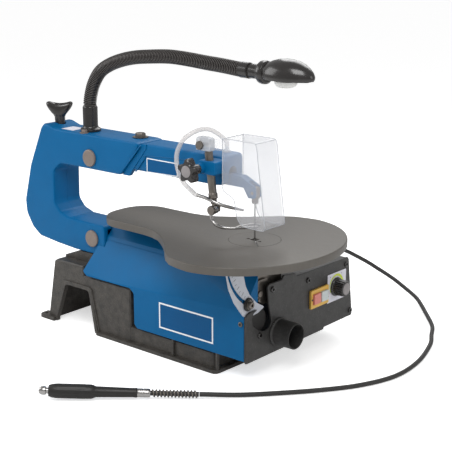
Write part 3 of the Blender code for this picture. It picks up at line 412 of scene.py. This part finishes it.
# ---------------------------------------------------------------- cords
def flexible_shaft():
    route = [Vector(p) for p in SHAFT_ROUTE] + [HAND_END - HAND_DIR * 10.0, HAND_END - HAND_DIR * 0.3]
    points = smooth_line(route, 170)
    curve = bpy.data.curves.new("flexible_shaft", "CURVE")
    curve.dimensions = "3D"
    curve.bevel_depth = SHAFT_RADIUS * MM
    curve.bevel_resolution = 6
    curve.use_fill_caps = True
    spline = curve.splines.new("POLY")
    spline.points.add(len(points) - 1)
    for slot, point in zip(spline.points, points):
        slot.co = (*at(*point), 1.0)
    spline.use_smooth = True
    curve.materials.append(RUBBER)
    obj = bpy.data.objects.new("flexible_shaft", curve)
    bpy.context.scene.collection.objects.link(obj)
    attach(obj, "saw_body")
    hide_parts("flex_shaft")
    spring = spring_relief()
    handpiece()


def hand_line():
    """Start and direction of the handpiece as it lies on the bench."""
    flat = Vector((HAND_DIR.x, HAND_DIR.y, 0)).normalized()
    rest = HAND_END + flat * HAND_REST
    rest.z = HAND_HEIGHT
    start = HAND_END + HAND_DIR * 0.3
    return start, (rest - start).normalized()


def spring_relief():
    """Coil spring round a sleeve at the end of the flexible shaft."""
    start, lie = hand_line()
    bm = bmesh.new()
    add_turned(bm, [(0, 0), (3.5, 0), (3.6, 1), (3.6, 69), (0, 69)], start, lie, 20, 1)
    helper = lie.cross(Vector((0, 0, 1))).normalized()
    other = lie.cross(helper)
    turns, steps = 13, 16
    coil = []
    for i in range(turns * steps + 1):
        ang = 2 * math.pi * i / steps
        coil.append(start + lie * (1.8 + 65.0 * i / (turns * steps))
                    + (helper * math.cos(ang) + other * math.sin(ang)) * 4.9)
    add_tube(bm, coil, 0.95, 8, 0)
    return piece(bm, "spring_coil", [DARK_STEEL, RUBBER], "saw_body", "spring_relief")


def handpiece():
    """Grip with a chrome ferrule, a waisted rear half and a thick ribbed head."""
    start, lie = hand_line()
    bm = bmesh.new()
    add_turned(bm, [(0, 69.3), (5.4, 69.3), (6.0, 70.2), (6.3, 72), (6.3, 78.5), (5.9, 79), (5.9, 80),
                    (6.3, 80.5), (6.3, 86.5), (5.8, 88), (0, 88)], start, lie, 36, 1)
    ridge = lambda ang, dist: 1.0 + (0.03 * math.cos(12 * ang) if 160 < dist < 202 else 0.0)
    add_turned(bm, [(0, 87.6), (6.4, 87.6), (6.9, 88.6), (7.0, 90.5), (6.7, 92), (6.7, 96), (7.2, 118),
                    (7.8, 146), (8.4, 148), (9.4, 150), (10.1, 153), (10.3, 158), (10.0, 161), (10.2, 163),
                    (10.2, 200), (10.3, 203), (9.6, 209), (8.0, 213.4), (0, 213.6)], start, lie, 60, 0,
               wobble=ridge)
    return piece(bm, "ribbed_handpiece", [SATIN, STEEL], "saw_body", "handpiece")


def collet():
    start, lie = hand_line()
    bm = bmesh.new()
    add_turned(bm, [(0, 213.9), (4.4, 213.9), (4.4, 217), (5.8, 217.5), (6.3, 219.5), (6.2, 222),
                    (5.6, 225), (3.6, 227.4), (0, 228)], start, lie, 36, 0,
               wobble=lambda ang, dist: 1.0 - (0.05 if dist > 217.2 and math.cos(8 * ang) > 0.9 else 0.0))
    piece(bm, "slotted_collet", STEEL, "tool_collet", "collet")


def air_hose():
    """Clear hose from the blower nozzle up to the nipple on the arm."""
    points = smooth_line(HOSE_ROUTE, 70)
    bm = bmesh.new()
    add_tube(bm, points, 3.5, 14)
    obj = piece(bm, "clear_air_hose", CLEAR_SOFT, "hold_down", "air_hose")
    obj.parent = None
    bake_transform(obj)


# ---------------------------------------------------------------- lamp
def gooseneck():
    points = smooth_line(NECK_ROUTE, 481)
    radii = [(10.9, 10.8, 9.4, 9.4)[i % 4] for i in range(len(points))]
    bm = bmesh.new()
    foot = [(NECK_ROUTE[0][0], LAMP_Y, 345), (NECK_ROUTE[0][0], LAMP_Y, 368.4)]
    sides = 22
    faces = add_tube(bm, foot + points, [6.7, 6.7] + radii, sides)
    # Every fourth band, the crest of each rib, takes the lighter grey as a painted highlight; the other bands
    # are gloss black.
    for i, face in enumerate(faces):
        face.material_index = 0 if (i // sides - 2) % 4 == 0 else 1
    add_turned(bm, [(10.4, 0), (11.6, 1), (11.6, 15), (10.4, 16)], (-24, LAMP_Y, 452.5), (1, 0, -0.02), 28, 1)
    piece(bm, "ribbed_neck", [NECK_RIB_HIGHLIGHT, GLOSS], "lamp_neck", "gooseneck")


def lamp_hood():
    """Egg-shaped hood with a flat open underside and the white lens below it."""
    y = LAMP_Y
    sides = 44
    profile = ((20.0, 6.0), (20.6, 10.5), (24, 14.5), (29, 18), (36, 20.8), (45, 23), (55, 24), (65, 23.8),
               (75, 22.2), (84, 19), (92, 14.4), (98, 9.6), (102, 5))
    bm = bmesh.new()
    rings = []
    for x, wide in profile:
        ring = []
        for i in range(sides):
            ang = 2 * math.pi * i / sides
            up = math.sin(ang)
            floor = -6.0 if x > 22 else -12.0
            ring.append(Vector((x, y + wide * math.cos(ang), 450.5 + max(floor, wide * up * 0.98))))
        rings.append(ring)
    rings.append([Vector((103.4, y, 449.0))])
    add_rings(bm, rings)
    piece(bm, "lamp_shell", GLOSS, "lamp_head", "lamp_hood")
    ring = bmesh.new()
    add_turned(ring, [(0, 0.0), (9, 0.6), (13.6, 2.4), (15.8, 5.4), (16.2, 9.0), (14, 12.4), (0, 12.6)],
               (56, y, 433.4), (0, 0, 1), 40)
    piece(ring, "lamp_lens_dome", LENS, "lamp_head", "lamp_lens")


# ---------------------------------------------------------------- badges, screws and labels
def framed_badge(name, outline, axis, level, way, border):
    """A raised blank panel with a white border line."""
    bm = bmesh.new()
    add_prism(bm, outline, axis, level, level + way * 0.25, 1)
    centre = Vector((sum(p[0] for p in outline) / len(outline), sum(p[1] for p in outline) / len(outline)))
    wide = max(p[0] for p in outline) - min(p[0] for p in outline)
    tall = max(p[1] for p in outline) - min(p[1] for p in outline)
    inner = []
    for a, b in outline:
        inner.append((centre.x + (a - centre.x) * (1 - 2 * border / wide),
                      centre.y + (b - centre.y) * (1 - 2 * border / tall)))
    add_prism(bm, inner, axis, level, level + way * 0.4, 0)
    piece(bm, name, [DARK_BLUE, WHITE], "saw_body", smooth=False)


def screw(name, centre, direction, radius, body="saw_body", look=None, deep=1.5):
    """Pan-head screw with a hexagonal socket."""
    bm = bmesh.new()
    add_turned(bm, [(0, -0.4), (radius, -0.4), (radius, deep * 0.45), (radius * 0.86, deep * 0.85),
                    (radius * 0.62, deep)], centre, direction, 24)
    add_turned(bm, [(radius * 0.5, deep * 1.02), (radius * 0.46, deep * 0.35), (0, deep * 0.3)], centre,
               direction, 6)
    add_turned(bm, [(radius * 0.62, deep), (radius * 0.5, deep * 1.02)], centre, direction, 24)
    return piece(bm, name, look or DARK_STEEL, body)


def panel_screws():
    for i, (y, z) in enumerate(SCREW_YZ):
        screw(f"panel_screw_{i}", (31.0, y, z), (1, 0, 0), 4.6, look=GLOSS, deep=2.6)
    screw("cover_screw", (18, -54.0, 90), (0, -1, 0), 4.0, look=DARK_STEEL, deep=2.0)
    screw("switch_screw_a", (35.2, 99.6, 90.5), (1, 0, 0), 1.3)


def speed_dial_print():
    """Lime arc that widens round the knob, with tick marks."""
    bm = bmesh.new()
    ky, kz = KNOB_YZ
    steps = 28
    outer, inner = [], []
    for i in range(steps + 1):
        t = i / steps
        ang = math.radians(215 - 250 * t)
        reach = 16.6 + 5.4 * t
        outer.append((ky + reach * math.cos(ang), kz + 1.5 + reach * math.sin(ang)))
        inner.append((ky + 16.0 * math.cos(ang), kz + 1.5 + 16.0 * math.sin(ang)))
    for i in range(steps):
        quad = [outer[i], outer[i + 1], inner[i + 1], inner[i]]
        add_prism(bm, quad, "X", 31.9, 32.05, 0)
    piece(bm, "speed_arc", LIME, "saw_body", smooth=False)
    marks = bmesh.new()
    for i in range(7):
        ang = math.radians(215 - 250 * i / 6)
        a = Vector((math.cos(ang), math.sin(ang)))
        side = Vector((-a.y, a.x)) * 0.35
        near, far = a * 22.6, a * 24.4
        quad = [near - side, far - side, far + side, near + side]
        quad = [(ky + p.x, kz + 1.5 + p.y) for p in quad]
        add_prism(marks, quad, "X", 31.9, 32.05, 0)
    piece(marks, "speed_marks", INK, "saw_body", smooth=False)


def speed_knob():
    ky, kz = KNOB_YZ
    bm = bmesh.new()
    ridge = lambda ang, dist: 1.0 + (0.035 * math.cos(20 * ang) if 35.5 < dist < 52 else 0.0)
    profile = [(0, 25.5), (2.8, 25.5), (2.8, 32.4), (15.2, 32.4), (15.5, 33.2), (15.3, 34.6), (13.6, 35.4),
               (13.1, 36.2), (12.4, 50.8), (11.6, 52.1), (9.4, 52.6)]
    add_turned(bm, profile, (0, ky, kz), (1, 0, 0), 80, wobble=ridge)
    piece(bm, "ridged_speed_knob", GLOSS, "dial", "speed_knob")
    cap = bmesh.new()
    add_turned(cap, [(9.4, 52.0), (9.5, 52.7), (8.6, 53.2), (0, 53.4)], (0, ky, kz), (1, 0, 0), 40)
    add_prism(cap, [(ky - 0.6, kz + 3), (ky + 0.6, kz + 3), (ky + 0.6, kz + 8.6), (ky - 0.6, kz + 8.6)], "X",
              53.0, 53.45)
    piece(cap, "speed_knob_cap", KNOB_CAP, "dial")


def tilt_marks():
    bm = bmesh.new()
    for i in range(10):
        ang = math.radians(24 + 5 * i)
        out = Vector((-math.sin(ang), -math.cos(ang)))
        side = Vector((-out.y, out.x)) * 0.3
        long = 6.0 if i % 2 == 0 else 3.6
        near, far = out * (91.4 - long), out * 91.4
        quad = [near - side, far - side, far + side, near + side]
        add_prism(bm, [(p.x, TABLE_TOP + p.y) for p in quad], "X", 27.4, 27.55)
    piece(bm, "tilt_scale_marks", INK, "tilting_table", smooth=False)


def foot_bar():
    """Chrome presser foot: an upright eye, a curved toe and a flat fork round the blade."""
    bm = bmesh.new()
    add_turned(bm, [(0, -48.4), (5.6, -48.4), (6.0, -47.6), (6.0, -41.2), (0, -41.2)], (-40.5, 0, 251),
               (0, 1, 0), 28)
    toe = smooth_line([(-42, -44.4, 254), (-46, -44.4, 247), (-46.4, -44.4, 240), (-43, -44.2, 232.5),
                       (-35, -43.4, 227.8), (-24, -41, 226), (-12, -32, 225.6), (-2, -20, 225.5),
                       (5, -11, 225.5), (8, -4.6, 225.5)], 40)
    add_tube(bm, toe, [2.5] * 20 + [2.0] * 20, 12)
    fork = smooth_line([(-12, -32, 225.6), (-13, -18, 225.5), (-9, -4, 225.5), (-4.6, 4.4, 225.5),
                        (7, 5, 225.5)], 24)
    add_tube(bm, fork, 1.5, 10)
    piece(bm, "curved_foot", STEEL, "foot", "presser_foot")


def lock_washer():
    """Broad dark washer under the tilt lock's head."""
    y, z = -49.44, 121.71
    bm = bmesh.new()
    add_turned(bm, [(7.0, 28.0), (10.0, 28.0), (10.0, 29.4), (9.4, 30.2), (7.0, 30.4)], (0, y, z), (1, 0, 0),
               32, loop=True)
    piece(bm, "lock_washer", SATIN, "lock_screw")


def knob_discs():
    bm = bmesh.new()
    add_turned(bm, [(0, 0), (8.6, 0), (8.6, 0.5), (7.6, 1.0), (0, 1.1)], (-59.6, -84.0, 311.5), (0, -1, 0),
               36)
    piece(bm, "clamp_knob_disc", KNOB_CAP, "clamp_knob")


def tension_knob():
    """Funnel-shaped wing knob on the tension rod."""
    turn = Matrix.Translation(Vector((-421, 0, 0))) @ Matrix.Rotation(math.radians(38), 4, "Z")
    rings = []
    steps = 40
    for z, wide, thick in ((336, 8.6, 8.6), (342, 8.8, 8.8), (346, 11, 9.8), (350, 14.4, 10.6),
                           (355, 18.4, 11), (360, 21.4, 11), (364, 22.4, 10.6), (366.5, 21.4, 9.6),
                           (367.5, 18, 8.0), (365, 13, 6.0), (360, 7, 4.2)):
        ring = []
        for i in range(steps):
            ang = 2 * math.pi * i / steps
            a, b = math.cos(ang), math.sin(ang)
            lift = 4.0 * a * a - 4.0 if z > 348 else 0.0
            ring.append(turn @ Vector((wide * a, thick * (abs(b) ** 0.8) * (1 if b > 0 else -1), z + lift)))
        rings.append(ring)
    bm = bmesh.new()
    add_rings(bm, rings)
    add_turned(bm, [(0, 328), (8.4, 328), (8.4, 336.4), (0, 336.4)], (-421, 0, 0), (0, 0, 1), 32)
    piece(bm, "funnel_knob", GLOSS, "tension_wing", "tension_knob")


def arm_top_fittings():
    """Square-headed bolt with its washer, a small nut and a blank instruction label."""
    bm = bmesh.new()
    add_turned(bm, [(0, 326.6), (12.4, 326.6), (12.8, 327.2), (12.8, 328.2), (0, 328.6)], (-240, 8, 0),
               (0, 0, 1), 36)
    add_turned(bm, [(0, 328), (8.6, 328), (8.6, 333.2), (7.6, 334.4), (0, 334.4)], (-240, 8, 0), (0, 0, 1), 6)
    piece(bm, "arm_bolt_head", DARK_STEEL, "saw_body", "arm_bolt")
    nut = bmesh.new()
    add_turned(nut, [(0, 326.6), (7.4, 326.6), (7.4, 327.6), (0, 327.6)], (-338, -22, 0), (0, 0, 1), 28)
    add_turned(nut, [(0, 327.4), (5.2, 327.4), (5.2, 331), (4.4, 331.8), (0, 331.8)], (-338, -22, 0),
               (0, 0, 1), 6)
    piece(nut, "socket_nut", CAP_GREY, "saw_body")
    tag = bmesh.new()
    add_prism(tag, [(-394, -21), (-366, -21), (-366, 5), (-394, 5)], "Z", 326.9, 327.5)
    piece(tag, "blank_label", LABEL, "saw_body", smooth=False)


def arm_rims():
    """Raised rim lines on the arm's near face and along the frame's diagonal step."""
    lines = [[(-203, -24.2, 307), (-150, -24.2, 311), (-100, -24.2, 313)],
             [(-197, -25.3, 306), (-219, -25.3, 279.5)]]
    bm = bmesh.new()
    for line in lines:
        add_tube(bm, [Vector(p) for p in line], 0.9, 8)
    add_tube(bm, [(-204.5, -28.4, 323.5), (-250.5, -28.4, 272.5)], 1.3, 8)
    piece(bm, "arm_rim", BLUE, "saw_body")
    step = bmesh.new()
    add_prism(step, [(-204, 325.5), (-248.5, 270.6), (-234, 270.6), (-226, 281.3), (-196, 318.5),
                     (-196, 325.5)], "Y", -25.2, -18)
    piece(step, "arm_step", BLUE, "saw_body", smooth=False, bevel=0.5)
    fold = bmesh.new()
    profile = [(-25.4, -5.2), (-22.3, 0.4), (3.6, 26.0), (4.6, 24.6), (-21.6, -1.0), (-24.4, -5.6)]
    add_rings(fold, [[Vector((x, y, low + z)) for y, z in profile]
                     for x, low in ((-289.0, 162.1), (-60.0, 158.3))])
    piece(fold, "cover_top_fold", BLUE, "saw_body", smooth=False)


def base_ribs():
    """Upright ribs on the near side of the base casting."""
    bm = bmesh.new()
    for x in (-119.0, -29.5):
        add_prism(bm, [(x - 1.6, -53.4), (x + 1.6, -53.4), (x + 2.4, -49.6), (x - 2.4, -49.6)], "Z", 5, 33)
    add_tube(bm, [(-286, -51.2, 6), (-302, -51.2, 74), (-306, -51.2, 76.5), (-368, -51.2, 76.5)], 1.5, 8)
    piece(bm, "base_ribs", CAST, "saw_body")


# ---------------------------------------------------------------- guard
def blade_guard():
    """Clear guard: thin walls, with thicker looking moulded edges."""
    bm = bmesh.new()
    left, right, wall = -38.0, 10.0, 2.0
    side = [(-31, 357), (-12, 357), (12, 357), (27, 357), (30.4, 355), (32.5, 349), (36, 322), (40, 294),
            (44, 265), (47.6, 238.5), (47.2, 234), (44, 231.6), (28, 231.8), (12, 232.2), (5, 234.6),
            (-1, 240), (-5, 250), (-8, 266), (-11, 271), (-18, 274.5), (-28, 279), (-31, 283.5), (-31, 320)]
    for y in (left, right - wall):
        add_prism(bm, side, "Y", y, y + wall, 0)
    front = [(-31, 357), (27, 357), (30.4, 355), (32.5, 349), (36, 322), (40, 294), (44, 265), (47.6, 238.5),
             (47.2, 234), (44.6, 231.8)]
    inner = [(-31, 355), (26.2, 355), (28.8, 353.4), (30.5, 348.6), (34, 321.6), (38, 293.6), (42, 264.6),
             (45.5, 238.2), (45.2, 234.6), (43.8, 232.6)]
    for k in range(len(front) - 1):
        quad = [front[k], front[k + 1], inner[k + 1], inner[k]]
        rings = [[Vector((a, y, b)) for a, b in quad] for y in (left + wall, right - wall)]
        rows = [[bm.verts.new(p) for p in ring] for ring in rings]
        for i in (0, 2):
            j = (i + 1) % 4
            bm.faces.new((rows[0][i], rows[0][j], rows[1][j], rows[1][i]))
    lug = [(-30.4, 356.5), (-60, 353), (-67, 350.5), (-69.3, 345), (-67, 339.5), (-61, 337), (-30.4, 338.5)]
    add_prism(bm, lug, "Y", left, left + wall, 0)
    bmesh.ops.remove_doubles(bm, verts=bm.verts, dist=0.01)
    piece(bm, "clear_guard_shell", CLEAR, "guard", "blade_guard", smooth=False)
    rim = bmesh.new()
    for y in (left + 0.6, right - 0.6):
        line = smooth_line([Vector((max(a, -30.3), y, b)) for a, b in side] +
                           [Vector((-30.3, y, 356.5))], 90)
        add_tube(rim, line, 0.62, 6)
    for a, b in ((29.8, 355.4), (46.2, 233.4), (-30.3, 356.2)):
        add_tube(rim, [(a, left + 1, b), (a, (left + right) / 2, b), (a, right - 1, b)], 0.7, 6)
    piece(rim, "clear_guard_edges", CLEAR_EDGE, "guard")


# ---------------------------------------------------------------- studio
def studio():
    scene = bpy.context.scene
    scene.view_settings.view_transform = "Standard"
    world = bpy.data.worlds.new("studio")
    world.use_nodes = True
    tree = world.node_tree
    seen = tree.nodes["Background"]
    seen.inputs["Color"].default_value = (1.0, 1.0, 1.0, 1.0)
    soft = tree.nodes.new("ShaderNodeBackground")
    soft.inputs["Color"].default_value = (1.0, 1.0, 1.0, 1.0)
    soft.inputs["Strength"].default_value = 0.42
    path = tree.nodes.new("ShaderNodeLightPath")
    mix = tree.nodes.new("ShaderNodeMixShader")
    tree.links.new(path.outputs["Is Camera Ray"], mix.inputs["Fac"])
    tree.links.new(soft.outputs["Background"], mix.inputs[1])
    tree.links.new(seen.outputs["Background"], mix.inputs[2])
    tree.links.new(mix.outputs["Shader"], tree.nodes["World Output"].inputs["Surface"])
    scene.world = world
    lamps = (("key", (500, -900, 1500), 900, 16.0), ("left", (-1300, -700, 900), 900, 7.0),
             ("back", (-500, 1100, 1300), 1000, 9.0), ("front", (1500, 300, 700), 700, 3.5))
    for name, place, size, power in lamps:
        data = bpy.data.lights.new(name, "AREA")
        data.size = size * MM
        data.energy = power
        lamp = bpy.data.objects.new(name, data)
        bpy.context.scene.collection.objects.link(lamp)
        lamp.location = at(*place)
        aim = at(-100, 0, 200) - lamp.location
        lamp.rotation_euler = aim.to_track_quat("-Z", "Y").to_euler()
    bm = bmesh.new()
    size = 12000
    corners = [(-size, -size, -0.4), (size, -size, -0.4), (size, size, -0.4), (-size, size, -0.4)]
    bm.faces.new([bm.verts.new(Vector(c) * MM) for c in corners])
    mesh = bpy.data.meshes.new("studio_floor")
    bm.to_mesh(mesh)
    bm.free()
    floor = bpy.data.objects.new("studio_floor", mesh)
    bpy.context.scene.collection.objects.link(floor)
    mat = bpy.data.materials.new("floor_white")
    mat.use_nodes = True
    tree = mat.node_tree
    tree.nodes["Principled BSDF"].inputs["Base Color"].default_value = (0.95, 0.95, 0.95, 1)
    tree.nodes["Principled BSDF"].inputs["Roughness"].default_value = 0.9
    glow = tree.nodes.new("ShaderNodeEmission")
    path = tree.nodes.new("ShaderNodeLightPath")
    tree.links.new(path.outputs["Is Camera Ray"], glow.inputs["Strength"])
    glow.inputs["Color"].default_value = (0.58, 0.58, 0.58, 1)
    both = tree.nodes.new("ShaderNodeAddShader")
    tree.links.new(tree.nodes["Principled BSDF"].outputs["BSDF"], both.inputs[0])
    tree.links.new(glow.outputs["Emission"], both.inputs[1])
    tree.links.new(both.outputs["Shader"], tree.nodes["Material Output"].inputs["Surface"])
    mesh.materials.append(mat)


make_camera()
flexible_shaft()
air_hose()
dress_nodes()
gooseneck()
lamp_hood()
framed_badge("arm_badge", [(-196, 281.5), (-131, 283.5), (-131, 304.5), (-196, 304.5)], "Y", -24.05, -1, 1.6)
framed_badge("cover_badge", [(-146, 46), (-35, 46), (-35, 88), (-146, 88)], "Y", -54.05, -1, 2.6)
panel_screws()
speed_dial_print()
speed_knob()
tilt_marks()
knob_discs()
lock_washer()
foot_bar()
collet()
tension_knob()
arm_top_fittings()
arm_rims()
base_ribs()
blade_guard()
studio()
